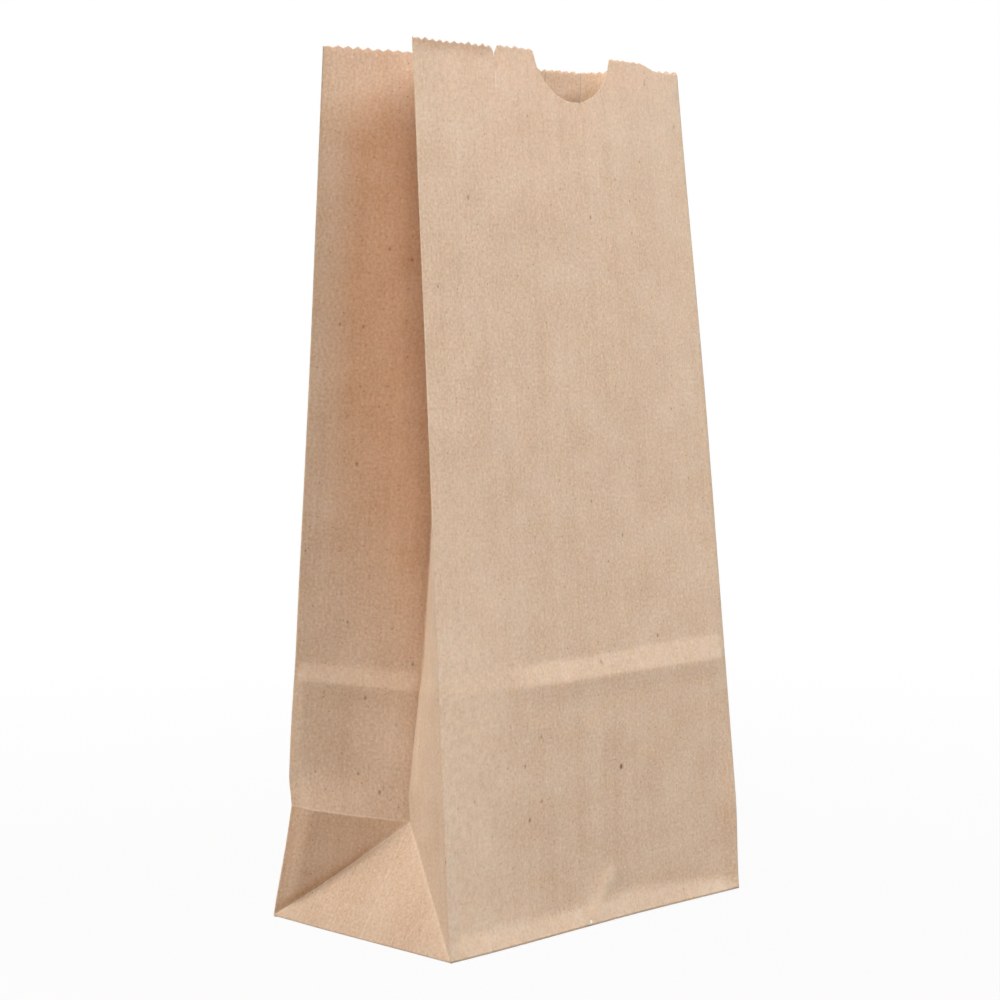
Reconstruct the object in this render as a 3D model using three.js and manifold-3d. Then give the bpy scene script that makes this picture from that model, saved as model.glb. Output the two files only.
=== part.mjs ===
import * as THREE from "three";
import { mergeVertices } from "three/addons/utils/BufferGeometryUtils.js";
import Module from "manifold-3d";

// A brown paper lunch bag that stands open: one folded and pasted sheet of kraft paper.
// Millimetres, +Z up, front face towards -Y, the origin under the middle of the bottom.
// A height named s is measured along the sheet, from the bottom fold up to the rim.

// The flat bag
const WIDTH = 130.2; // front and back face
const DEPTH = 79.4; // each gusset, and so the bottom from front to back
const LENGTH = 269.9; // bottom fold to the tips of the pinked rim
const PAPER = 0.2; // one layer of the sheet

// How the bag stands: the way each corner of the mouth has come in over the bottom
const LEAN_FRONT_LEFT = 15.5;
const LEAN_FRONT_RIGHT = 29.1;
const LEAN_BACK_LEFT = 24.9;
const LEAN_BACK_RIGHT = 37.9;
const LEAN_FOLD = 7.9; // the part of the back's lean that is in the panel under its bottom crease
const MOUTH_BOW = 3; // outward bow of the front face at the rim
const CREASE_RELAX = 0.6; // share of a gusset crease's drop that the paper has taken up at the rim

// The soft crease round the bag
const BAND = 77; // its height on the sheet
const BAND_WIDTH = 6; // from its ridge to where the face is flat again
const BAND_RIDGE = 0.5; // outward step at the ridge

// The rim
const TOOTH_PITCH = 3;
const TOOTH_DEPTH = 1.3;
const NOTCH_RADIUS = 20.6; // thumb notch in the front face
const NOTCH_DEPTH = 15;
const NOTCH_OFFSET = 6; // from the middle of the face, to the right
const NOTCH_STEPS = 20;
const TEAR_OFFSET = -31; // small tear in the front rim
const TEAR_DEPTH = 4.5;
const TEAR_WIDTH = 1.1;

// The pasted laps
const SEAM_EDGE = 27; // right edge of the back to the lengthwise seam
const SEAM_WIDTH = 16.5;
const SEAM_START = 1; // above the bottom fold
const BOTTOM_LAP = 18; // how far the two bottom flaps cover each other

// The middle surface: rows and columns, and the height of its floor
const FACE_COLUMNS = 8;
const UPPER_ROWS = 5;
const FOLD = DEPTH / 2; // height of the crease that lets the bottom lie flat on the back
const VALLEY = LENGTH - TOOTH_DEPTH;
const BELOW_NOTCH = LENGTH - NOTCH_DEPTH - 3 * TOOTH_PITCH;
const FLOOR = 2.5 * PAPER; // two flap layers are under it
const PASTED = PAPER / 4; // how far one layer sinks in the next, so that they are one solid

const { Manifold, Mesh: SolidMesh } = await Module().then((wasm) => {
  wasm.setup();
  return wasm;
});

const rise = (length, lean) => Math.sqrt(length ** 2 - lean ** 2);
const steps = (from, to, count) =>
  Array.from({ length: count + 1 }, (_, i) => from + ((to - from) * i) / count);

// The four upright fold edges; side is -1 for left and 1 for right.
function frontEdge(side, s) {
  const lean = side < 0 ? LEAN_FRONT_LEFT : LEAN_FRONT_RIGHT;
  const t = s / LENGTH;
  return new THREE.Vector3(
    (side * WIDTH) / 2,
    lean * t - DEPTH / 2,
    FLOOR + rise(LENGTH, lean) * t,
  );
}

function backEdge(side, s) {
  const lean = (side < 0 ? LEAN_BACK_LEFT : LEAN_BACK_RIGHT) - LEAN_FOLD;
  const low = Math.min(s / FOLD, 1);
  const high = Math.max(s - FOLD, 0) / (LENGTH - FOLD);
  return new THREE.Vector3(
    (side * WIDTH) / 2,
    DEPTH / 2 - LEAN_FOLD * low - lean * high,
    FLOOR + rise(FOLD, LEAN_FOLD) * low + rise(LENGTH - FOLD, lean) * high,
  );
}

// The crease down the middle of a gusset. Both halves keep their width, so the crease goes in as the mouth closes.
// It starts in the middle of the bottom's end, at the top of the gusset's foot.
function gussetCrease(side, s) {
  const inward = (height) => {
    const reach = (backEdge(side, height).y - frontEdge(side, height).y) / 2;
    return rise(FOLD, reach);
  };
  const middle = frontEdge(side, s).lerp(backEdge(side, s), 0.5);
  const apex = frontEdge(side, FOLD).lerp(backEdge(side, FOLD), 0.5);
  const drop = apex.z - FLOOR - rise(FOLD, inward(FOLD));
  const relaxed = (CREASE_RELAX * (s - FOLD)) / (LENGTH - FOLD);
  const settled = Math.min((s - FOLD) / FOLD, 1);
  return new THREE.Vector3(
    middle.x - side * inward(s),
    middle.y * settled,
    middle.z - drop * (1 - relaxed),
  );
}

// A face between two fold edges, from t = 0 to 1, with the ridge of the soft crease and the bow at the rim.
function face(from, to, outward, bow) {
  return (t, s) => {
    const point = from(s).lerp(to(s), t);
    const ridge = BAND_RIDGE * Math.max(0, 1 - Math.abs(s - BAND) / BAND_WIDTH);
    const round = 4 * t * (1 - t);
    point.y += outward * round * (ridge + bow * (s / LENGTH) ** 2);
    return point;
  };
}

const between = (from, to) => (t, s) => from(s).lerp(to(s), t);
const edge = (fold, side) => (s) => fold(side, s);
const [frontLeft, backLeft, creaseLeft] = [
  frontEdge,
  backEdge,
  gussetCrease,
].map((fold) => edge(fold, -1));
const [frontRight, backRight, creaseRight] = [
  frontEdge,
  backEdge,
  gussetCrease,
].map((fold) => edge(fold, 1));

const seamFrom = SEAM_EDGE / WIDTH;
const seamTo = (SEAM_EDGE + SEAM_WIDTH) / WIDTH;
const backColumns = [
  ...steps(0, seamFrom, 2),
  ...steps(seamTo, 1, FACE_COLUMNS - 3),
];

// The pinked rim across one panel: points with t across and height s, valley to valley.
function teeth(from, to, width) {
  const count = Math.max(1, Math.round(((to - from) * width) / TOOTH_PITCH));
  return steps(from, to, 2 * count).map((t, i) => ({
    t,
    s: i % 2 ? LENGTH : VALLEY,
  }));
}

function frontRim() {
  const across = (x) => 0.5 + x / WIDTH;
  const drop = NOTCH_DEPTH - TOOTH_DEPTH;
  const turn = Math.acos(1 - drop / NOTCH_RADIUS);
  const notch = steps(-turn, turn, NOTCH_STEPS).map((angle) => ({
    t: across(NOTCH_OFFSET + NOTCH_RADIUS * Math.sin(angle)),
    s: LENGTH - NOTCH_DEPTH + NOTCH_RADIUS * (1 - Math.cos(angle)),
  }));
  const tearFrom = across(TEAR_OFFSET - TEAR_WIDTH / 2);
  const tearTo = across(TEAR_OFFSET + TEAR_WIDTH / 2);
  return [
    ...teeth(0, tearFrom, WIDTH),
    { t: across(TEAR_OFFSET), s: LENGTH - TEAR_DEPTH },
    ...teeth(tearTo, notch[0].t, WIDTH).slice(0, -1),
    ...notch,
    ...teeth(notch.at(-1).t, 1, WIDTH).slice(1),
  ];
}

// The panels in their order round the bag, seen from above: front, right gusset, back, left gusset.
const gussetRim = teeth(0, 1, FOLD);
const front = face(frontLeft, frontRight, -1, MOUTH_BOW);
const back = face(backRight, backLeft, 1, 0);
const upperLevels = [
  FOLD,
  BAND - BAND_WIDTH,
  BAND,
  ...steps(BAND + BAND_WIDTH, BELOW_NOTCH, UPPER_ROWS),
];
const allLevels = [0, ...upperLevels];
const faceColumns = steps(0, 1, FACE_COLUMNS);
const panels = [
  { at: front, columns: faceColumns, levels: allLevels, rim: frontRim() },
  ...[
    between(frontRight, creaseRight),
    between(creaseRight, backRight),
    between(backLeft, creaseLeft),
    between(creaseLeft, frontLeft),
  ].map((at) => ({
    at,
    columns: [0, 1],
    levels: upperLevels,
    rim: gussetRim,
  })),
  {
    at: back,
    columns: backColumns,
    levels: allLevels,
    rim: teeth(0, 1, WIDTH),
  },
];

// Fills between two rows of points that run the same way, row for row, or with more points in the upper one.
function fillRows(out, lower, upper) {
  lower.slice(1).forEach((right, i) => {
    out.push(lower[i], right, upper[i + 1]);
    out.push(lower[i], upper[i + 1], upper[i]);
  });
}

function fillFan(out, lower, upper, columns, rim) {
  let i = 0;
  let j = 0;
  while (i < columns.length - 1 || j < rim.length - 1) {
    const rimNext =
      i === columns.length - 1 ||
      (j < rim.length - 1 && rim[j + 1].t <= columns[i + 1]);
    if (rimNext) {
      out.push(lower[i], upper[j + 1], upper[j]);
      j += 1;
    } else {
      out.push(lower[i], lower[i + 1], upper[j]);
      i += 1;
    }
  }
}

function fillPanel(out, { at, columns, levels, rim }) {
  const rows = levels.map((s) => columns.map((t) => at(t, s)));
  rows.slice(1).forEach((row, i) => fillRows(out, rows[i], row));
  const underRim = rim.map(({ t }) => at(t, BELOW_NOTCH + TOOTH_PITCH));
  fillFan(out, rows.at(-1), underRim, columns, rim);
  fillRows(
    out,
    underRim,
    rim.map(({ t, s }) => at(t, s)),
  );
}

// The foot of a gusset: a triangle that leans in from the bottom's edge, and the two that join it to the faces.
function fillFoot(out, side) {
  const [frontFoot, frontTop] = [0, FOLD].map((s) => frontEdge(side, s));
  const [backFoot, backTop] = [0, FOLD].map((s) => backEdge(side, s));
  const apex = gussetCrease(side, FOLD);
  const corners = [
    [frontFoot, backFoot, apex],
    [frontFoot, apex, frontTop],
    [backFoot, backTop, apex],
  ];
  corners.forEach((three) =>
    out.push(...(side < 0 ? three.reverse() : three)),
  );
}

// The bottom, between the two bottom folds. The back row runs the other way.
function fillBottom(out) {
  const frontRow = faceColumns.map((t) => front(t, 0));
  const backRow = backColumns.map((t) => back(t, 0)).reverse();
  fillRows(out, backRow, frontRow);
}

function toSolid(geometry) {
  const bare = new THREE.BufferGeometry();
  bare.setAttribute("position", geometry.getAttribute("position"));
  bare.setIndex(geometry.index);
  const merged = mergeVertices(bare);
  return new Manifold(
    new SolidMesh({
      numProp: 3,
      vertProperties: merged.getAttribute("position").array,
      triVerts: new Uint32Array(merged.index.array),
    }),
  );
}

// Gives a middle surface the thickness of the paper: it is moved out and in by half, and closed along its open edge.
function thicken(points) {
  const flat = new THREE.BufferGeometry().setFromPoints(points);
  const middle = mergeVertices(flat);
  const corner = [...middle.index.array];
  const place = middle.getAttribute("position");
  const at = (i) => new THREE.Vector3().fromBufferAttribute(place, i);
  const outward = Array.from({ length: place.count }, () => []);
  const sides = new Map();
  for (let i = 0; i < corner.length; i += 3) {
    const three = corner.slice(i, i + 3);
    const [a, b, c] = three.map(at);
    const facing = b.clone().sub(a).cross(c.clone().sub(a)).normalize();
    three.forEach((v, k) => {
      const next = three[(k + 1) % 3];
      const last = three[(k + 2) % 3];
      const angle = at(next).sub(at(v)).angleTo(at(last).sub(at(v)));
      outward[v].push({ facing, angle });
      sides.set(`${v} ${next}`, [v, next]);
    });
  }
  const offset = outward.map((around) => {
    const mean = new THREE.Vector3();
    around.forEach(({ facing, angle }) => mean.addScaledVector(facing, angle));
    mean.normalize();
    const least = Math.min(...around.map(({ facing }) => facing.dot(mean)));
    return mean.multiplyScalar(PAPER / 2 / Math.max(least, 0.5));
  });
  const outer = offset.map((by, v) => at(v).add(by));
  const inner = offset.map((by, v) => at(v).sub(by));
  const shell = [];
  for (let i = 0; i < corner.length; i += 3) {
    const [a, b, c] = corner.slice(i, i + 3);
    shell.push(outer[a], outer[b], outer[c]);
    shell.push(inner[a], inner[c], inner[b]);
  }
  for (const [v, next] of sides.values()) {
    if (sides.has(`${next} ${v}`)) continue;
    shell.push(outer[next], outer[v], inner[v]);
    shell.push(outer[next], inner[v], inner[next]);
  }
  return toSolid(new THREE.BufferGeometry().setFromPoints(shell));
}

// The tube with its bottom
const sheet = [];
panels.forEach((panel) => fillPanel(sheet, panel));
[-1, 1].forEach((side) => fillFoot(sheet, side));
fillBottom(sheet);

// The second layer of the lengthwise seam, outside on the back
function seamStrip() {
  const columns = backColumns.filter(
    (t) => t > seamFrom - 1e-6 && t < seamTo + 1e-6,
  );
  const levels = [SEAM_START, ...upperLevels, VALLEY];
  const rows = levels.map((s) =>
    columns.map((t) => {
      const point = back(t, s);
      point.y += PAPER - PASTED;
      return point;
    }),
  );
  const out = [];
  rows.slice(1).forEach((row, i) => fillRows(out, rows[i], row));
  return thicken(out);
}

// A bottom flap: its base is a bottom fold, and its ends follow the folded corners. facing is 1 for the front flap.
function bottomFlap(facing, low) {
  const reach = (DEPTH + BOTTOM_LAP) / 2;
  const y = (distance) => facing * (distance - DEPTH / 2);
  const outline = new THREE.Shape([
    new THREE.Vector2(-WIDTH / 2, y(0)),
    new THREE.Vector2(WIDTH / 2, y(0)),
    new THREE.Vector2(WIDTH / 2 - reach, y(reach)),
    new THREE.Vector2(reach - WIDTH / 2, y(reach)),
  ]);
  const layer = new THREE.ExtrudeGeometry(outline, {
    depth: FLOOR - PAPER / 2 + PASTED - low,
    bevelEnabled: false,
  });
  return toSolid(layer.translate(0, 0, low));
}

const solid = Manifold.union([
  thicken(sheet),
  seamStrip(),
  bottomFlap(1, PAPER),
  bottomFlap(-1, 0),
]);

const { numProp, vertProperties, triVerts } = solid.getMesh();
const geometry = new THREE.BufferGeometry();
geometry.setAttribute(
  "position",
  new THREE.BufferAttribute(vertProperties, numProp),
);
geometry.setIndex(new THREE.BufferAttribute(triVerts, 1));
geometry.computeVertexNormals();

const kraftPaper = new THREE.MeshStandardMaterial({
  name: "kraft_paper",
  color: 0xd8bb9f,
  roughness: 0.9,
});
const bag = new THREE.Mesh(geometry, kraftPaper);
bag.name = "paper_bag";

const part = new THREE.Group();
part.add(bag);
export default part;
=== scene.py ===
import math

import bmesh
import bpy
from mathutils import Euler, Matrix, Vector, noise


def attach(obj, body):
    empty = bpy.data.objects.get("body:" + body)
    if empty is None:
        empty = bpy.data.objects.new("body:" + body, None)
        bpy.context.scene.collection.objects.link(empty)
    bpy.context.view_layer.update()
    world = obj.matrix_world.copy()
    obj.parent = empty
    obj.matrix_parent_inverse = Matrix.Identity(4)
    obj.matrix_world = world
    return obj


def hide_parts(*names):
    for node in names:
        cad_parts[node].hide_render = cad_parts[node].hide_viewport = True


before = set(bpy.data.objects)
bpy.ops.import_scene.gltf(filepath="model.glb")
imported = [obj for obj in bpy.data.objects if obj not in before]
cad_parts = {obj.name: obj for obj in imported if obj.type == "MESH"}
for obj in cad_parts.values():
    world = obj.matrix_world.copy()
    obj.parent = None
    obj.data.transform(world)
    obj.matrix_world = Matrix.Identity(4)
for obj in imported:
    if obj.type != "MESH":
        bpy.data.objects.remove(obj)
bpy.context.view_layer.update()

# Lengths are in millimetres: s is the height up the flat sheet, v the distance across one of its panels, and
# x the distance from the middle of a face. A pair is where a change starts and where it is complete.
MM = 0.001
LEFT = -1
RIGHT = 1
OUT_FRONT = Vector((0, -1, 0))
OUT_BACK = Vector((0, 1, 0))

# The flat bag, as in the CAD solid; FLOOR is how high the inner layer of its bottom lies
WIDTH = 130.2
HALF_WIDTH = WIDTH / 2
DEPTH = 79.4
HALF_DEPTH = DEPTH / 2
LENGTH = 269.9
FOLD = HALF_DEPTH
FLOOR = 0.5
PAPER = 0.12

# How far each corner of the mouth has come in over the bottom, and the back at its cross fold. At the mouth
# the front bows out, and a share of the drop of the gussets' creases is gone.
LEAN_FRONT_LEFT = 15.5
LEAN_FRONT_RIGHT = 29.1
LEAN_BACK_LEFT = 24.9
LEAN_BACK_RIGHT = 37.9
LEAN_FOLD = 8.2
MOUTH_BOW = 3.0
CREASE_RELAX = 0.6

# The teeth of the rim: a tip is worn down by part of the depth, and no two are alike
TOOTH_PITCH = 3.0
TOOTH_DEPTH = 1.3
TOOTH_DEPTH_LIP = 1.2
TOOTH_DEPTH_RIGHT = 0.5
TIP_WORN = 0.5
TIP_VARIES = 0.45
TIP_RATE = 0.83
TIP_SEED = 7
GAP_VARIES = 0.2
GAP_RATE = 0.71
GAP_SEED = 5

# The thumb notch and the tear in the front
NOTCH_RADIUS = 20.6
NOTCH_DEPTH = 15.7
NOTCH_ARC = math.radians(59)
NOTCH_OFFSET = 6.0
NOTCH_STEPS = 26
NOTCH_LIP = 1.6
NOTCH_RAGGED = 0.2
NOTCH_RAGGED_RATE = 1.9
TEAR_OFFSET = -31.0
TEAR_WIDTH = 2.6
TEAR_DEPTH = 3.3
CRACK_WIDTH = 0.3
CRACK_DEPTH = 6.0

# How the rim's height and its edge differ from stretch to stretch
CUT_FRONT_LEFT = 0.5
CUT_FRONT_RIGHT = 0.3
CUT_RIGHT_GUSSET = 0.7
CUT_BACK = 0.7
CUT_BACK_LAP = 0.9
RISE_LEFT_GUSSET = 0.9
RISE_BACK_CORNER = 1.7
RISE_BACK_REACH = 4.0
RIM_DIP = 1.9
RIM_DIP_ACROSS = (42.0, 52.0)
RIM_CURL = 1.4
RIM_CURL_HEIGHT = 3.6
RIM_CURL_END = (-36.0, -29.0)

# The pasted laps
SEAM_EDGE = 27.0
SEAM_WIDTH = 16.5
BACK_WIDTH = WIDTH - SEAM_EDGE
BACK_LAP_WIDTH = SEAM_EDGE + SEAM_WIDTH
LAP_STEP = 0.22
LAP_FADE = 10.0
BOTTOM_LAP = 18.0
BOTTOM_STEP = 0.17

# The crease that runs round the bag; on the front it is faint and narrow at the left
BAND_LOW = 77.3
BAND_HIGH = 83.5
BAND_HIGH_GUSSET = 83.0
BAND_STEP = 1.9
BAND_REACH = 60.0
BAND_UNDERCUT = 0.3
BAND_UNDERCUT_REACH = 7.0
BAND_FAINT = 0.3
BAND_GROWS = (-48.0, -12.0)
BAND_WIDENING = 1.6
BAND_WIDENS = (-20.0, 65.0)
BAND_HELD = 6.0
BAND_HELD_GUSSET = 3.0
BAND_SHARE_BACK = 0.7
BAND_SHARE_GUSSET_FRONT = 0.3
BAND_SHARE_GUSSET_BACK = 0.9

# The cross fold of the back, which sags, kinks at the left edge and bulges across the gussets
CREASE_SAG = 2.2
CREASE_SAG_REACH = 30.0
KINK_STEP = 1.7
KINK_HEIGHT = 46.5
KINK_ROOT = 1.0
KINK_REACH = 40.0
BULGE = 3.3
BULGE_REACH = 12.0
BULGE_RISES = (0.0, 7.0)
BULGE_FALLS = (20.0, FOLD - 1)
BULGE_FADE = 1.5
BULGE_LIP = 0.3
APEX_SHIFT = 1.2
APEX_SAG = 1.2

# The strip along the bottom of the front that stands out, and the dent that runs up from it to the right
STRIP_HEIGHT = 6.0
STRIP_STEP = 1.8
STRIP_REACH = 90.0
STRIP_TALLER = 1.2
STRIP_TALLER_ACROSS = (4.0, 12.0)
STRIP_LOWER = 3.5
STRIP_LOWER_ACROSS = (25.0, 65.0)
DENT = 1.0
DENT_FOOT = Vector((-2.0, 3.5))
DENT_RUN = Vector((7.5, 9.5))
DENT_WIDTH = 3.6
DENT_TAPER = 1.2

# Bowed edges, as shares of the height on the front, and corners of the bottom that have lifted or spread
FRONT_RIGHT_BOW = 1.6
FRONT_RIGHT_BOW_FULL = 0.12
FRONT_RIGHT_BOW_FADES = (0.55, 1.0)
BACK_LEFT_BOW = 1.1
BACK_LEFT_BOW_ROOT = 4.0
BACK_LEFT_BOW_TOP = 190.0
LIFT = 1.2
LIFT_REACH = 75.0
LIFT_RIGHT = (-62.0, 26.0)
LIFT_FRONT = (-5.0, 39.0)
SPLAY = 0.9
SPLAY_REACH = 30.0
SPLAY_LEFT = (25.0, 65.0)
SPLAY_BACK = (15.0, 39.0)
SPLAY_LIFT = 0.25

# Shallow waves of the panels, each from its own row of the noise; near a fold the sheet is held
WAVE = 0.5
WAVE_SPAN = 62.0
WAVE_SMALL = 0.28
WAVE_SMALL_SPAN = 24.0
WAVE_SMALL_APART = 200
WAVE_ABOVE_BOTTOM = 15.0
WAVE_ABOVE_FOLD = 12.0
WAVE_SHARE_GUSSET = 0.7
WAVE_ROW_FRONT = 0
WAVE_ROW_BACK = 300
WAVE_ROW_GUSSET = 500
WAVE_ROW_FRONT_HALF = 100
HELD = 7.0
GUSSET_SLANT = 1.4

# The grid of the sheet: a column and a row just beside each fold, and rows in steps up to each height
ROUND = 0.5
BELOW_RIM = 22.0
ROWS = (
    (66.0, 2.6),
    (75.0, 1.2),
    (79.0, 0.5),
    (88.0, 1.0),
    (LENGTH - BELOW_RIM, 2.9),
    (LENGTH - ROUND, 2.4),
)


def smooth(low, high, value):
    t = min(max((value - low) / (high - low), 0.0), 1.0)
    return t * t * (3 - 2 * t)


# 1 at the peak and 0 from the low and high ends on
def swell(low, peak, high, value):
    return min(smooth(low, peak, value), 1 - smooth(peak, high, value))


def rise(length, lean):
    return math.sqrt(length * length - lean * lean)


def spaced(low, high, step):
    count = max(1, round((high - low) / step))
    return [low + (high - low) * i / count for i in range(count + 1)]


# The step of the crease that runs round the bag: 0 above it, 1 at its lower line, and gone further down
def band(s, high):
    if s >= BAND_LOW:
        return 1 - min((s - BAND_LOW) / (high - BAND_LOW), 1.0)
    below = BAND_LOW - s
    near = smooth(0, BAND_UNDERCUT_REACH, below)
    far = smooth(0, BAND_REACH, below)
    return 1 - BAND_UNDERCUT * near - (1 - BAND_UNDERCUT) * far


def front_band_top(x):
    return BAND_HIGH + BAND_WIDENING * smooth(*BAND_WIDENS, x)


def front_band_weight(x):
    return BAND_FAINT + (1 - BAND_FAINT) * smooth(*BAND_GROWS, x)


def front_band(x, s):
    held = 1 - smooth(HALF_WIDTH - BAND_HELD, HALF_WIDTH, abs(x))
    return BAND_STEP * held * front_band_weight(x) * band(s, front_band_top(x))


# The back was folded a little lower than the front, so its rows sag there
def back_height(level):
    if level < FOLD:
        return level * (1 - CREASE_SAG / FOLD)
    return level - CREASE_SAG * max(1 - (level - FOLD) / CREASE_SAG_REACH, 0.0)


# The upright folds at a row of the sheet, at the front, at the back and in the middle of a gusset
def front_edge(side, s):
    lean = LEAN_FRONT_LEFT if side == LEFT else LEAN_FRONT_RIGHT
    t = s / LENGTH
    bow = 0.0
    if side == RIGHT:
        bow = FRONT_RIGHT_BOW * smooth(0, FRONT_RIGHT_BOW_FULL, t) * (1 - smooth(*FRONT_RIGHT_BOW_FADES, t))
    return Vector((side * HALF_WIDTH, lean * t - HALF_DEPTH - bow, FLOOR + rise(LENGTH, lean) * t))


def back_edge(side, level):
    s = back_height(level)
    fold = FOLD - CREASE_SAG
    lean = (LEAN_BACK_LEFT if side == LEFT else LEAN_BACK_RIGHT) - LEAN_FOLD
    low = min(s / fold, 1.0)
    high = max(s - fold, 0.0) / (LENGTH - fold)
    y = HALF_DEPTH - LEAN_FOLD * low - lean * high
    z = FLOOR + rise(fold, LEAN_FOLD) * low + rise(LENGTH - fold, lean) * high
    if side == LEFT:
        y += KINK_STEP * swell(fold - KINK_ROOT, KINK_HEIGHT, KINK_HEIGHT + KINK_REACH, s)
        y += BACK_LEFT_BOW * swell(fold + BACK_LEFT_BOW_ROOT, BAND_LOW, BACK_LEFT_BOW_TOP, s)
    return Vector((side * HALF_WIDTH, y, z))


def gusset_crease(side, s):
    def inward(level):
        return rise(FOLD, (back_edge(side, level).y - front_edge(side, level).y) / 2)

    middle = front_edge(side, s).lerp(back_edge(side, s), 0.5)
    apex = front_edge(side, FOLD).lerp(back_edge(side, FOLD), 0.5)
    drop = apex.z - FLOOR - rise(FOLD, inward(FOLD))
    relaxed = CREASE_RELAX * (s - FOLD) / (LENGTH - FOLD)
    settled = min((s - FOLD) / FOLD, 1.0)
    loose = 1 - settled if side == LEFT else 0.0
    x = middle.x - side * inward(s)
    y = middle.y * settled - APEX_SHIFT * loose
    z = middle.z - drop * (1 - relaxed) - APEX_SAG * loose
    return Vector((x, y, z))


# Half a gusset: v is the distance from the fold at the face. Below the crease it is two flat triangles.
def gusset_half(edge, side, v, s):
    across = v / FOLD
    if s >= FOLD:
        return edge(side, s).lerp(gusset_crease(side, s), across)
    up = s / FOLD
    foot = edge(side, 0)
    apex = gusset_crease(side, FOLD)
    if v <= s:
        top = edge(side, FOLD)
        return foot + (apex - top) * across + (top - foot) * up
    middle = Vector((foot.x, 0, foot.z))
    return foot + (middle - foot) * across + (apex - middle) * up


def waves(x, row, s):
    broad = noise.noise(Vector((x, row, s)) / WAVE_SPAN)
    small = noise.noise(Vector((x + WAVE_SMALL_APART, row, s)) / WAVE_SMALL_SPAN)
    return WAVE * broad + WAVE_SMALL * WAVE * small


def strip_height(x):
    taller = STRIP_TALLER * smooth(*STRIP_TALLER_ACROSS, x)
    lower = STRIP_LOWER * smooth(*STRIP_LOWER_ACROSS, x)
    return STRIP_HEIGHT + taller - lower


# 1 along the middle of the dent
def strip_dent(x, s):
    at = Vector((x, s)) - DENT_FOOT
    along = min(max(at.dot(DENT_RUN) / DENT_RUN.length_squared, 0.0), 1.0)
    aside = (at - DENT_RUN * along).length
    return math.exp(-((aside / (DENT_WIDTH - DENT_TAPER * along)) ** 2))


# How far the front face stands out of its flat form, apart from the crease and the waves
def front_relief(x, s):
    round_mouth = MOUTH_BOW * (1 - (x / HALF_WIDTH) ** 2) * (s / LENGTH) ** 2
    top = strip_height(x)
    strip = STRIP_STEP * min(s / top, 1.0) * (1 - smooth(top, top + STRIP_REACH, s))
    curl = RIM_CURL * max(1 - (LENGTH - s) / RIM_CURL_HEIGHT, 0.0) * (1 - smooth(*RIM_CURL_END, x))
    return round_mouth - strip + DENT * strip_dent(x, s) + curl


def gusset_relief(front, s):
    share = BAND_SHARE_GUSSET_FRONT if front else BAND_SHARE_GUSSET_BACK
    return share * BAND_STEP * band(s, BAND_HIGH_GUSSET)


# The cross fold bulges between its ends on the back half of a gusset, and ends in a lip at the slanted fold
def crease_bulge(v, s):
    across = smooth(*BULGE_RISES, v) * (1 - smooth(*BULGE_FALLS, v))
    if s >= FOLD:
        return BULGE * across * max(1 - (s - FOLD) / BULGE_REACH, 0.0) ** BULGE_FADE
    if v >= s:
        return 0.0
    return BULGE * across * ((s - v) / (FOLD - v)) ** BULGE_LIP


def inset(v, width):
    return smooth(0, HELD, min(v, width - v))


def front_place(v, s):
    place = front_edge(LEFT, s).lerp(front_edge(RIGHT, s), v / WIDTH)
    x = v - HALF_WIDTH
    held = inset(v, WIDTH)
    out = front_relief(x, s) * (held if s < LENGTH / 2 else 1.0)
    wavy = held * smooth(0, WAVE_ABOVE_BOTTOM, s) * waves(x, WAVE_ROW_FRONT, s)
    return place + OUT_FRONT * (out + front_band(x, s) + wavy)


def back_place(x, s, layer):
    place = back_edge(RIGHT, s).lerp(back_edge(LEFT, s), 0.5 - x / WIDTH)
    held = inset(HALF_WIDTH - x, WIDTH)
    step = BAND_SHARE_BACK * BAND_STEP * band(s, BAND_HIGH)
    wavy = smooth(0, WAVE_ABOVE_BOTTOM, s) * waves(x, WAVE_ROW_BACK, s)
    return place + OUT_BACK * (layer + held * (step + wavy))


def gusset_place(edge, side, v, s):
    place = gusset_half(edge, side, v, s)
    front = edge is front_edge
    outward = Vector((side, GUSSET_SLANT if front else -GUSSET_SLANT, 0)).normalized()
    held = inset(v, FOLD) * smooth(0, WAVE_ABOVE_FOLD, s - FOLD)
    row = side * WAVE_ROW_GUSSET + WAVE_ROW_FRONT_HALF * front
    out = smooth(0, BAND_HELD_GUSSET, min(v, FOLD - v)) * gusset_relief(front, s)
    out += held * WAVE_SHARE_GUSSET * waves(v, row, s)
    return place + outward * (out if front else out + crease_bulge(v, s))


# Corners of the bottom that have left the table or spread
def settle(place):
    low = 1 - smooth(0, LIFT_REACH, place.z)
    lift = LIFT * smooth(*LIFT_RIGHT, place.x) * smooth(*LIFT_FRONT, -place.y)
    splay = SPLAY * smooth(*SPLAY_LEFT, -place.x) * smooth(*SPLAY_BACK, place.y)
    splay *= 1 - smooth(0, SPLAY_REACH, place.z)
    return place + Vector((0, splay, low * lift + SPLAY_LIFT * splay))


# The rim: points across a panel with the height of the cut
def teeth(low, high, depth=TOOTH_DEPTH, top=LENGTH):
    count = max(1, round((high - low) / TOOTH_PITCH))
    points = []
    for i in range(2 * count + 1):
        v = low + (high - low) * i / (2 * count)
        tip = TIP_WORN + TIP_VARIES * noise.noise(Vector((v * TIP_RATE, depth * TIP_SEED, high)))
        gap = 1 + GAP_VARIES * noise.noise(Vector((v * GAP_RATE, depth * GAP_SEED, low)))
        points.append((v, top - depth * (tip if i % 2 else gap)))
    return points


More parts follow.
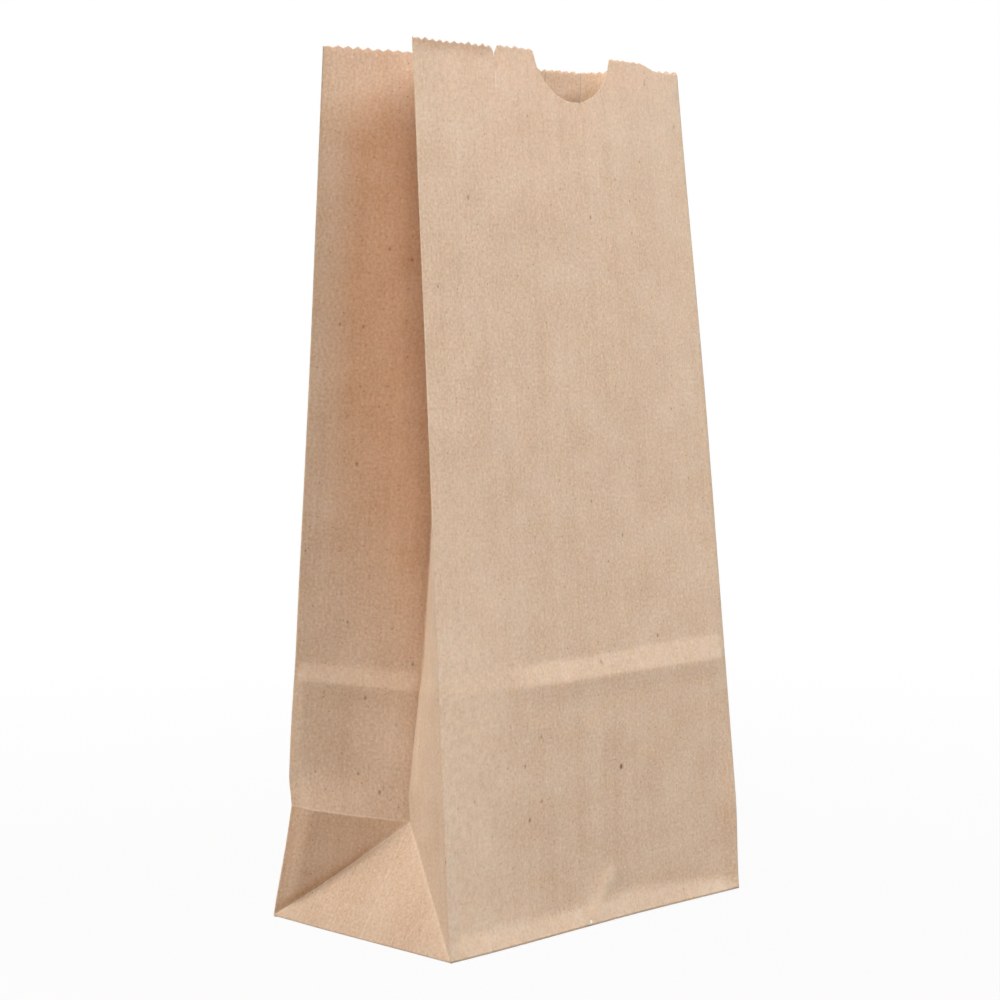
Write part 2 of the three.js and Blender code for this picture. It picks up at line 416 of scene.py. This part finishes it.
def front_rim():
    tear = HALF_WIDTH + TEAR_OFFSET
    notch = []
    for i in range(NOTCH_STEPS + 1):
        angle = NOTCH_ARC * (2 * i / NOTCH_STEPS - 1)
        v = HALF_WIDTH + NOTCH_OFFSET + NOTCH_RADIUS * math.sin(angle)
        ragged = NOTCH_RAGGED * noise.noise(Vector((v * NOTCH_RAGGED_RATE, 0, 0)))
        notch.append((v, LENGTH - NOTCH_DEPTH + NOTCH_RADIUS * (1 - math.cos(angle)) + ragged))
    left = teeth(0, tear - TEAR_WIDTH / 2, TOOTH_DEPTH, LENGTH - CUT_FRONT_LEFT)
    slit = [
        (tear - CRACK_WIDTH / 2, LENGTH - TEAR_DEPTH),
        (tear, LENGTH - CRACK_DEPTH),
        (tear + CRACK_WIDTH / 2, LENGTH - TEAR_DEPTH),
    ]
    lip = teeth(tear + TEAR_WIDTH / 2, notch[0][0] - NOTCH_LIP, TOOTH_DEPTH_LIP)
    right = []
    for v, s in teeth(notch[-1][0] + NOTCH_LIP, WIDTH, TOOTH_DEPTH_RIGHT, LENGTH - CUT_FRONT_RIGHT):
        right.append((v, s - RIM_DIP * smooth(*RIM_DIP_ACROSS, v - HALF_WIDTH)))
    return left + slit + lip + notch + right


# Adds a point to the rim just beside the fold at each end of the panel
def with_rounding(rim, width):
    points = dict(rim)
    for v in (ROUND, width - ROUND):
        (v0, s0), (v1, s1) = next((a, b) for a, b in zip(rim, rim[1:]) if a[0] <= v <= b[0])
        points[v] = s0 + (s1 - s0) * (v - v0) / (v1 - v0)
    return sorted(points.items())


def back_rim():
    rim = with_rounding(teeth(0, BACK_WIDTH, TOOTH_DEPTH, LENGTH - CUT_BACK), BACK_WIDTH)
    return [(v, s + RISE_BACK_CORNER * smooth(BACK_WIDTH - RISE_BACK_REACH, BACK_WIDTH, v)) for v, s in rim]


# Beside the seam the back lies on the lap under it
def lap_layer(v):
    return LAP_STEP * (1 - smooth(SEAM_WIDTH, SEAM_WIDTH + LAP_FADE, v))


# The panels in the order of the flat sheet, from the lap outside on the back to the lap inside on the back:
# how wide each is, and where a point of it goes
PANELS = [
    (BACK_WIDTH, lambda v, s: back_place(HALF_WIDTH - SEAM_EDGE - v, s, lap_layer(v))),
    (FOLD, lambda v, s: gusset_place(back_edge, LEFT, v, s)),
    (FOLD, lambda v, s: gusset_place(front_edge, LEFT, FOLD - v, s)),
    (WIDTH, front_place),
    (FOLD, lambda v, s: gusset_place(front_edge, RIGHT, v, s)),
    (FOLD, lambda v, s: gusset_place(back_edge, RIGHT, FOLD - v, s)),
    (BACK_LAP_WIDTH, lambda v, s: back_place(HALF_WIDTH - v, s, 0.0)),
]
BACK, LEFT_BACK, LEFT_FRONT, FRONT, RIGHT_FRONT, RIGHT_BACK, BACK_LAP = range(len(PANELS))

# Halves of the gussets, those that start at a face, those at the back, and the panels with the cross fold
GUSSETS = (LEFT_BACK, LEFT_FRONT, RIGHT_FRONT, RIGHT_BACK)
GUSSETS_FACE_FIRST = (LEFT_BACK, RIGHT_FRONT)
GUSSETS_BACK = (LEFT_BACK, RIGHT_BACK)
CROSS_FOLDED = (BACK, LEFT_BACK, RIGHT_BACK, BACK_LAP)

# Where each panel starts across the flat sheet
START = [sum(width for width, _ in PANELS[:i]) for i in range(len(PANELS))]

gusset_rim = with_rounding(teeth(0, FOLD), FOLD)
right_gusset_rim = [(v, s - CUT_RIGHT_GUSSET) for v, s in gusset_rim]
RIMS = [
    back_rim(),
    [(v, s + RISE_LEFT_GUSSET * (1 - v / FOLD)) for v, s in gusset_rim],
    gusset_rim,
    with_rounding(front_rim(), WIDTH),
    right_gusset_rim,
    right_gusset_rim,
    with_rounding(teeth(0, BACK_LAP_WIDTH, TOOTH_DEPTH, LENGTH - CUT_BACK_LAP), BACK_LAP_WIDTH),
]

# A column is its panel, its place across the panel and the height of its rim; panels share those on folds
columns = []
folds = set()
for index, rim in enumerate(RIMS):
    for v, s in rim if index == 0 else rim[1:]:
        columns.append((index, v, s))
    if index < len(RIMS) - 1:
        folds.add(len(columns) - 1)

# In the feet the rows are as far apart as a gusset's columns, so that the slanted folds run through points
levels = [v for v, s in gusset_rim]
FOLD_ROW = len(levels) - 1
row_height = FOLD + ROUND
levels.append(row_height)
for top, step in ROWS:
    levels += spaced(row_height, top, step)[1:]
    row_height = top
levels.append(LENGTH)


# Towards the rim the rows are squeezed or spread to end on its cut
def height(level, top):
    base = LENGTH - BELOW_RIM
    if level <= base:
        return level
    return base + (level - base) * (top - base) / BELOW_RIM


# How pale the paper is made: fully on its folds and the cut of its rim, and at the left corner, where it is
# rubbed;
# painted highlights on the crease round the bag and on the strip along the bottom with its dent; and painted
# light up the left side of the front and towards the mouth
PAINTED_BAND_EDGE = 0.5
PAINTED_CREASE_HIGHLIGHT = 0.4
PAINTED_CREASE_HIGHLIGHT_GUSSET = 0.3
PAINTED_STRIP_HIGHLIGHT = 0.5
PAINTED_STRIP_EDGE = 1.5
PAINTED_DENT_HIGHLIGHT = 0.65
RUB_CORNER = 0.8
RUB_CORNER_REACH = 4.0
PAINTED_SIDE_LIGHT = 0.7
PAINTED_SIDE_LIGHT_ACROSS = (6.0, 45.0)
PAINTED_SIDE_LIGHT_UP = (60.0, 170.0)
PAINTED_MOUTH_LIGHT = 0.4
PAINTED_MOUTH_LIGHT_UP = (210.0, 262.0)
RUB_FOLD = 1.0
RUB_BELOW_RIM = 0.3


# Painted highlight along the crease round the bag, with soft edges
def painted_band_highlight(s, high):
    return smooth(BAND_LOW - PAINTED_BAND_EDGE, BAND_LOW, s) * (1 - smooth(high - PAINTED_BAND_EDGE, high, s))


# Paleness of the front: wear at the left corner, painted highlights on the crease, the strip and its dent,
# and painted light up the left side and towards the mouth
def front_rubbing_and_light(x, s):
    top = strip_height(x)
    from_left = x + HALF_WIDTH
    crease = PAINTED_CREASE_HIGHLIGHT * front_band_weight(x) * painted_band_highlight(s, front_band_top(x))
    strip = PAINTED_STRIP_HIGHLIGHT * (1 - smooth(top - PAINTED_STRIP_EDGE, top, s))
    dent = PAINTED_DENT_HIGHLIGHT * strip_dent(x, s)
    corner = RUB_CORNER * math.exp(-((math.hypot(from_left, s) / RUB_CORNER_REACH) ** 2))
    side = PAINTED_SIDE_LIGHT * (1 - smooth(*PAINTED_SIDE_LIGHT_ACROSS, from_left)) * (1 - smooth(*PAINTED_SIDE_LIGHT_UP, s))
    mouth = PAINTED_MOUTH_LIGHT * smooth(*PAINTED_MOUTH_LIGHT_UP, s)
    return max(crease, strip, dent, corner, side, mouth)


# Painted shade: deep in a gusset the paper is painted a deeper orange for the warm light bounced between its
# halves, and at the back beside the slanted fold of its foot it is painted darker for the shade there
POCKET_SHADE_ACROSS = (2.0, 14.0)
POCKET_SHADE_LOW = 105.0
POCKET_SHADE_LOW_SLANT = 1.6
POCKET_SHADE_RISE = 90.0
POCKET_SHADE_TOP = (240.0, 268.0)
POCKET_SHADE_FRONT_HALF = 0.5
POCKET_SHADE_FOOT = 0.35
POCKET_SHADE_FOOT_BESIDE = 7.0
POCKET_SHADE_FOOT_UP = (8.0, 32.0)


# How strongly a gusset point gets the painted bounce light and shade
def painted_pocket_shade(from_face, s, back):
    if back and from_face < s < FOLD:
        beside = 1 - smooth(0, POCKET_SHADE_FOOT_BESIDE, s - from_face)
        return POCKET_SHADE_FOOT + (1 - POCKET_SHADE_FOOT) * beside * (1 - smooth(*POCKET_SHADE_FOOT_UP, s))
    low = POCKET_SHADE_LOW - POCKET_SHADE_LOW_SLANT * from_face
    up = smooth(low, low + POCKET_SHADE_RISE, s) * (1 - smooth(*POCKET_SHADE_TOP, s))
    deep = smooth(*POCKET_SHADE_ACROSS, from_face) * up
    return deep if back else POCKET_SHADE_FRONT_HALF * deep


# The sheet is a flat grid, and each of its points goes to its place on the folded bag
ON_FOLD = 0.01


def fold_sheet():
    mesh = bmesh.new()
    sheet_map = mesh.loops.layers.uv.new("sheet")
    # Paleness per point: wear of the folds and the rim, and painted highlights and painted light
    wear_and_light = mesh.verts.layers.float.new("wear_and_painted_light")
    # Painted bounced light and shade deep in the gussets
    painted_bounce_shade = mesh.verts.layers.float.new("painted_bounce_shade")
    across = len(columns) - 1
    up = len(levels) - 1
    bmesh.ops.create_grid(mesh, x_segments=across, y_segments=up, size=1.0)
    mesh.verts.ensure_lookup_table()
    flat = {}
    diagonal = []
    crossing = set()
    for vert in mesh.verts:
        i = round((vert.co.x + 1) / 2 * across)
        j = round((vert.co.y + 1) / 2 * up)
        panel, v, top = columns[i]
        s = height(levels[j], top)
        flat[vert.index] = ((START[panel] + v) * MM, s * MM)
        place = PANELS[panel][1]
        vert.co = settle(place(v, s)) * MM

        on_diagonal = False
        if panel in GUSSETS:
            from_face = v if panel in GUSSETS_FACE_FIRST else FOLD - v
            # Painted bounced light and shade for a gusset point
            vert[painted_bounce_shade] = painted_pocket_shade(from_face, s, panel in GUSSETS_BACK)
            on_diagonal = j <= FOLD_ROW and abs(from_face - s) < ON_FOLD
        on_cross_fold = j == FOLD_ROW and panel in CROSS_FOLDED
        if on_diagonal:
            diagonal.append(vert)
        if on_cross_fold:
            crossing.add(vert)

        # Wear on the folds and the cut of the rim; on the front and on the left gusset's crease, painted
        # highlights and painted light as well
        if on_diagonal or on_cross_fold or i in folds or j == up:
            vert[wear_and_light] = RUB_FOLD
        elif j == up - 1:
            vert[wear_and_light] = RUB_BELOW_RIM
        elif panel == FRONT:
            vert[wear_and_light] = front_rubbing_and_light(v - HALF_WIDTH, s)
        elif panel == LEFT_BACK:
            vert[wear_and_light] = PAINTED_CREASE_HIGHLIGHT_GUSSET * painted_band_highlight(s, BAND_HIGH_GUSSET)
    bmesh.ops.connect_verts(mesh, verts=diagonal)
    slanted = set(diagonal)
    for edge in mesh.edges:
        ends = set(edge.verts)
        edge.smooth = not (ends <= slanted or ends <= crossing)
    for face in mesh.faces:
        face.smooth = True
        for loop in face.loops:
            loop[sheet_map].uv = flat[loop.vert.index]
    return mesh, sheet_map


# The bottom inside, and the two flaps that are pasted over it from below. Each takes its own patch of the
# paper's pattern, clear of the folded sheet's.
BOTTOM_GRID = 16
FLAP_GRID = 8
PATCH_BOTTOM = 600
PATCH_FRONT_FLAP = 800
PATCH_BACK_FLAP = 1000


def add_bottom(mesh, sheet_map):
    # A panel runs from its inner edge to its outer edge, each a depth with half the width there
    def panel(segments, inner, outer, z, patch):
        made = bmesh.ops.create_grid(mesh, x_segments=segments, y_segments=segments, size=1.0)
        for vert in made["verts"]:
            across = vert.co.x
            t = (vert.co.y + 1) / 2
            y = inner[0] + (outer[0] - inner[0]) * t
            half = inner[1] + (outer[1] - inner[1]) * t
            vert.co = settle(Vector((half * across, y, z))) * MM
        faces = {face for vert in made["verts"] for face in vert.link_faces}
        for face in faces:
            face.smooth = True
            for loop in face.loops:
                loop[sheet_map].uv = (loop.vert.co.x + patch * MM, loop.vert.co.y + patch * MM)
        return list(faces)

    reach = (DEPTH + BOTTOM_LAP) / 2
    past = reach - HALF_DEPTH
    narrow = HALF_WIDTH - reach
    front = (-HALF_DEPTH, HALF_WIDTH)
    back = (HALF_DEPTH, HALF_WIDTH)
    inside = panel(BOTTOM_GRID, front, back, FLOOR, PATCH_BOTTOM)
    panel(FLAP_GRID, (past, narrow), front, FLOOR - BOTTOM_STEP, PATCH_FRONT_FLAP)
    back_flap = panel(FLAP_GRID, (-past, narrow), back, FLOOR - 2 * BOTTOM_STEP, PATCH_BACK_FLAP)
    bmesh.ops.reverse_faces(mesh, faces=inside + back_flap)


# sRGB hex to the linear colour that a socket takes
def colour(text):
    channels = [int(text[i : i + 2], 16) / 255 for i in (1, 3, 5)]
    linear = [c / 12.92 if c <= 0.04045 else ((c + 0.055) / 1.055) ** 2.4 for c in channels]
    return (*linear, 1.0)


# Adds a node with its settings; an input is a value or the output that feeds it
def add(tree, kind, settings=None, **inputs):
    made = tree.nodes.new("ShaderNode" + kind)
    for name, value in (settings or {}).items():
        setattr(made, name, value)
    for name, value in inputs.items():
        socket = made.inputs[int(name[1:])] if name[1:].isdigit() else made.inputs[name.replace("_", " ")]
        if isinstance(value, bpy.types.NodeSocket):
            tree.links.new(value, socket)
        else:
            socket.default_value = value
    return made


# The paper's colours: its own deep and pale tones, a deeper orange painted for bounced light and shade in
# the gussets, a paler one for wear and for painted highlights and painted light, its flecks, and single
# marks: bark in the pulp, lint, and painted shadow at the tear
KRAFT_DEEP = "#C4A283"
KRAFT_PALE = "#E4CDB7"
# Painted bounced light and shade in the gussets
KRAFT_BOUNCE_SHADE = "#FAEADC"
# Paler colour for wear and for painted highlights and painted light
KRAFT_RUBBED_AND_LIT = "#EBD3BB"
BARK_FLECK = "#6F4C33"
BROWN_FLECK = "#8F6A4C"
PALE_FLECK = "#F6E6D8"
BARK = "#6B4830"
LINT = "#FBF7F3"
PAINTED_TEAR_SHADOW = "#B98362"

# The middle value of a noise pattern
PATTERN_MIDDLE = 0.5


# Unbleached kraft paper, machine glazed on neither side: matt, a little cloudy, with long fibres up the
# sheet and flecks of bark. Sizes of the pattern are in millimetres.
def kraft_paper():
    material = bpy.data.materials.new("kraft_paper_unbleached_matt")
    material.use_nodes = True
    tree = material.node_tree
    shader = tree.nodes["Principled BSDF"]
    sheet = add(tree, "UVMap", {"uv_map": "sheet"}).outputs["UV"]

    def stretched(along):
        return add(tree, "Mapping", Vector=sheet, Scale=(1.0, along, 1.0)).outputs["Vector"]

    def speckle(size, vector, detail):
        made = add(
            tree,
            "TexNoise",
            {"noise_dimensions": "2D"},
            Vector=vector,
            Scale=1 / (size * MM),
            Detail=detail,
            Roughness=0.55,
        )
        return made.outputs["Fac"]

    # The sum of some patterns by their shares, about the middle value
    def total(parts):
        weighted = {"operation": "MULTIPLY_ADD"}
        value = PATTERN_MIDDLE
        for source, share in parts:
            centred = add(tree, "Math", {"operation": "SUBTRACT"}, _0=source, _1=PATTERN_MIDDLE).outputs[0]
            value = add(tree, "Math", weighted, _0=centred, _1=share, _2=value).outputs[0]
        return value

    cloud = speckle(size=14, vector=sheet, detail=3.0)
    streak = speckle(size=3.2, vector=stretched(0.03), detail=2.0)
    fibre = speckle(size=0.8, vector=stretched(0.3), detail=2.0)
    grain = speckle(size=0.9, vector=sheet, detail=3.0)
    tone = total([(cloud, 0.5), (streak, 0.25), (fibre, 0.5), (grain, 1.05)])
    paper = add(
        tree,
        "Mix",
        {"data_type": "RGBA"},
        _0=tone,
        _6=colour(KRAFT_DEEP),
        _7=colour(KRAFT_PALE),
    ).outputs[2]

    # One fleck to a cell, up to a radius; the higher the rarity, the fewer are large enough to see
    def flecks(below, cell, radius, rarity, ink, share, along):
        cells = add(
            tree,
            "TexVoronoi",
            {"voronoi_dimensions": "2D"},
            Vector=stretched(along),
            Scale=1 / (cell * MM),
        )
        chance = add(tree, "SeparateColor", Color=cells.outputs["Color"]).outputs[0]
        size = add(tree, "Math", {"operation": "POWER"}, _0=chance, _1=rarity).outputs[0]
        reach = add(tree, "Math", {"operation": "MULTIPLY"}, _0=size, _1=radius / cell).outputs[0]
        fleck = add(
            tree,
            "MapRange",
            Value=cells.outputs["Distance"],
            From_Min=0.0,
            From_Max=reach,
            To_Min=share,
            To_Max=0.0,
        ).outputs[0]
        return add(tree, "Mix", {"data_type": "RGBA"}, _0=fleck, _6=below, _7=colour(ink)).outputs[2]

    paper = flecks(paper, cell=7.0, radius=0.75, rarity=15.0, ink=BARK_FLECK, share=0.7, along=0.7)
    paper = flecks(paper, cell=2.4, radius=0.5, rarity=6.0, ink=BROWN_FLECK, share=0.65, along=1.3)
    paper = flecks(paper, cell=1.9, radius=0.5, rarity=4.0, ink=PALE_FLECK, share=0.4, along=0.8)

    # A soft oval mark at a place on the flat sheet
    def mark(below, u, s, across, along, share, ink):
        at = (u * MM, s * MM, 0.0)
        size = (across * MM, along * MM, 1.0)
        moved = add(tree, "VectorMath", {"operation": "SUBTRACT"}, _0=sheet, _1=at).outputs[0]
        scaled = add(tree, "VectorMath", {"operation": "DIVIDE"}, _0=moved, _1=size).outputs[0]
        far = add(tree, "VectorMath", {"operation": "LENGTH"}, _0=scaled).outputs["Value"]
        near = add(
            tree,
            "MapRange",
            Value=far,
            From_Min=0.5,
            From_Max=1.1,
            To_Min=share,
            To_Max=0.0,
        ).outputs[0]
        return add(tree, "Mix", {"data_type": "RGBA"}, _0=near, _6=below, _7=colour(ink)).outputs[2]

    middle = START[FRONT] + HALF_WIDTH
    tear = middle + TEAR_OFFSET
    gusset = START[LEFT_BACK]
    paper = mark(paper, u=middle + 11.9, s=47.4, across=0.8, along=1.1, share=0.8, ink=BARK)
    paper = mark(paper, u=middle - 29.1, s=36.4, across=0.6, along=0.9, share=0.6, ink=BARK)
    paper = mark(paper, u=middle + 44.6, s=263.3, across=0.35, along=1.6, share=0.5, ink=BARK)
    paper = mark(paper, u=gusset + 29.9, s=47.2, across=0.6, along=0.8, share=0.5, ink=BARK)
    paper = mark(paper, u=gusset + 31.1, s=48.6, across=0.5, along=0.9, share=0.25, ink=BARK)
    paper = mark(paper, u=middle - 5.2, s=1.1, across=0.6, along=0.6, share=0.9, ink=LINT)
    # Painted shadows: under the curled right lip of the tear, and on the left of the crack below it
    paper = mark(paper, u=tear + 0.9, s=LENGTH - 6.5, across=0.9, along=1.8, share=0.3, ink=PAINTED_TEAR_SHADOW)
    paper = mark(paper, u=tear - 0.4, s=LENGTH - 10.5, across=0.3, along=2.6, share=0.2, ink=PAINTED_TEAR_SHADOW)
    paper = mark(paper, u=tear + 0.5, s=LENGTH - 11.5, across=0.4, along=4.0, share=0.22, ink=LINT)

    # Painted shade: deep in the gussets and beside the slanted folds of their back feet the paper is
    # multiplied towards a deeper orange, for bounced light and shade
    bounce_shade = add(tree, "Attribute", {"attribute_name": "painted_bounce_shade"}).outputs["Fac"]
    deeper = {"data_type": "RGBA", "blend_type": "MULTIPLY"}
    paper = add(tree, "Mix", deeper, _0=bounce_shade, _6=paper, _7=colour(KRAFT_BOUNCE_SHADE)).outputs[2]

    # Paler in patches: fibres broken along a fold or rubbed, and painted highlights and painted light on the
    # crease round the bag, the strip along the bottom with its dent, the left side of the front and near the
    # mouth
    worn_and_lit = add(tree, "Attribute", {"attribute_name": "wear_and_painted_light"}).outputs["Fac"]
    patches = speckle(size=2.5, vector=sheet, detail=2.0)
    patchy = add(tree, "MapRange", Value=patches, From_Min=0.35, From_Max=0.7).outputs[0]
    uneven = add(tree, "MapRange", Value=patchy, To_Min=0.25, To_Max=0.75).outputs[0]
    pale = add(tree, "Math", {"operation": "MULTIPLY"}, _0=worn_and_lit, _1=uneven).outputs[0]
    paper = add(tree, "Mix", {"data_type": "RGBA"}, _0=pale, _6=paper, _7=colour(KRAFT_RUBBED_AND_LIT)).outputs[2]
    tree.links.new(paper, shader.inputs["Base Color"])

    # The fibres stand a few hundredths of a millimetre proud, and thin paper lets a little light through
    relief = total([(fibre, 0.6), (grain, 0.8)])
    bump = add(tree, "Bump", Strength=0.35, Distance=0.05 * MM, Height=relief)
    tree.links.new(bump.outputs["Normal"], shader.inputs["Normal"])
    shader.inputs["Roughness"].default_value = 0.85
    shader.inputs["Specular IOR Level"].default_value = 0.4
    shader.inputs["Subsurface Weight"].default_value = 1.0
    shader.inputs["Subsurface Radius"].default_value = (1.0, 0.8, 0.55)
    shader.inputs["Subsurface Scale"].default_value = 0.15 * MM
    return material


# The bag as one piece
mesh, sheet_map = fold_sheet()
add_bottom(mesh, sheet_map)
data = bpy.data.meshes.new("folded_sheet")
mesh.to_mesh(data)
mesh.free()
bag = bpy.data.objects.new("folded_sheet", data)
bpy.context.scene.collection.objects.link(bag)
data.materials.append(kraft_paper())
thickness = bag.modifiers.new("paper thickness", "SOLIDIFY")
thickness.thickness = PAPER * MM
thickness.offset = 0.0
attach(bag, "root")
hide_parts("paper_bag")

# The studio, in metres: near the bag a small share of the floor's own paint shows, which keeps its shadow
WHITE = (1.0, 1.0, 1.0, 1.0)
FLOOR_PAINT = "#92897F"
FLOOR_RADIUS = 4.0
FLOOR_SEGMENTS = 96
FLOOR_CLEAR_FROM = 0.15
FLOOR_CLEAR_TO = 0.6
FLOOR_CLEAR_NEAR = 0.96
ROOM_TINT = "#FFE9D4"
ROOM_LOW = 0.03
ROOM_HIGH = 0.06
ROOM_STEEP = 0.9


# 1 for the rays that see the background: the camera's, and those mirrored or passed through
def background_rays(tree):
    path = add(tree, "LightPath")
    seen = path.outputs["Is Camera Ray"]
    for other in ("Is Glossy Ray", "Is Transmission Ray"):
        seen = add(tree, "Math", {"operation": "MAXIMUM"}, _0=seen, _1=path.outputs[other]).outputs[0]
    return seen


# Matt floor paint that is white to the camera, away from the bag
def floor_paint():
    material = bpy.data.materials.new("floor_white_matt")
    material.use_nodes = True
    tree = material.node_tree
    tree.nodes.remove(tree.nodes["Principled BSDF"])
    seen = background_rays(tree)
    place = add(tree, "TexCoord").outputs["Object"]
    away = add(tree, "VectorMath", {"operation": "LENGTH"}, _0=place).outputs["Value"]
    clear = add(
        tree,
        "MapRange",
        Value=away,
        From_Min=FLOOR_CLEAR_FROM,
        From_Max=FLOOR_CLEAR_TO,
        To_Min=FLOOR_CLEAR_NEAR,
        To_Max=1.0,
    ).outputs[0]
    share = add(tree, "Math", {"operation": "MULTIPLY"}, _0=seen, _1=clear).outputs[0]
    matt = add(tree, "BsdfDiffuse", Color=colour(FLOOR_PAINT)).outputs[0]
    white = add(tree, "Emission", Color=WHITE, Strength=1.0).outputs[0]
    both = add(tree, "MixShader", _0=share, _1=matt, _2=white).outputs[0]
    tree.links.new(both, tree.nodes["Material Output"].inputs["Surface"])
    return material


floor_mesh = bmesh.new()
bmesh.ops.create_circle(floor_mesh, cap_ends=True, segments=FLOOR_SEGMENTS, radius=FLOOR_RADIUS)
floor_data = bpy.data.meshes.new("studio_floor")
floor_mesh.to_mesh(floor_data)
floor_mesh.free()
floor_data.materials.append(floor_paint())
floor = bpy.data.objects.new("studio_floor", floor_data)
bpy.context.scene.collection.objects.link(floor)


# A white room: white to the camera, and a soft warm light on the bag that is stronger from above
def white_room():
    world = bpy.data.worlds.new("white_room")
    world.use_nodes = True
    tree = world.node_tree
    direct = background_rays(tree)
    heading = add(tree, "TexCoord").outputs["Generated"]
    steep = add(tree, "SeparateXYZ", Vector=heading).outputs["Z"]
    ambient = add(
        tree,
        "MapRange",
        Value=steep,
        From_Min=0.0,
        From_Max=ROOM_STEEP,
        To_Min=ROOM_LOW,
        To_Max=ROOM_HIGH,
    ).outputs[0]
    level = add(tree, "Mix", {"data_type": "FLOAT"}, _0=direct, _2=ambient, _3=1.0).outputs[0]
    tint = add(tree, "Mix", {"data_type": "RGBA"}, _0=direct, _6=colour(ROOM_TINT), _7=WHITE).outputs[2]
    backdrop = tree.nodes["Background"]
    tree.links.new(tint, backdrop.inputs["Color"])
    tree.links.new(level, backdrop.inputs["Strength"])
    return world


bpy.context.scene.world = white_room()

SOFTBOX_SIZE = 0.9
SOFTBOX_DISTANCE = 2.0
SOFTBOX_TARGET = Vector((0.0, 0.0, 0.13))


# A softbox is placed by its bearing from the front, counted towards the left, and its height, in degrees
def softbox(name, bearing, climb, power, tint):
    lamp = bpy.data.lights.new(name, "AREA")
    lamp.shape = "SQUARE"
    lamp.size = SOFTBOX_SIZE
    lamp.energy = power
    lamp.color = colour(tint)[:3]
    turn = math.radians(bearing)
    level = math.cos(math.radians(climb))
    towards = Vector((-math.sin(turn) * level, -math.cos(turn) * level, math.sin(math.radians(climb))))
    box = bpy.data.objects.new(name, lamp)
    box.location = SOFTBOX_TARGET + towards * SOFTBOX_DISTANCE
    box.rotation_euler = (-towards).to_track_quat("-Z", "Y").to_euler()
    bpy.context.scene.collection.objects.link(box)


softbox("softbox_front_left", bearing=47, climb=35, power=26.2, tint="#F8FCFF")
softbox("softbox_front_right", bearing=335, climb=42, power=26.6, tint="#F8FCFF")
softbox("softbox_back_left", bearing=140, climb=25, power=24.8, tint="#FFF7EF")
softbox("softbox_back_right", bearing=205, climb=44, power=14, tint="#FFFFFF")

# The photograph's view
camera = bpy.data.cameras.new("camera")
camera.sensor_width = 36.0
camera.lens = 92.93
camera.clip_start = 0.01
viewpoint = bpy.data.objects.new("camera", camera)
viewpoint.location = (-0.5749, -0.5756, 0.1945)
viewpoint.rotation_euler = Euler((math.radians(85.47), 0.0, math.radians(-44.69)))
bpy.context.scene.collection.objects.link(viewpoint)
bpy.context.scene.camera = viewpoint
bpy.context.scene.view_settings.view_transform = "Standard"
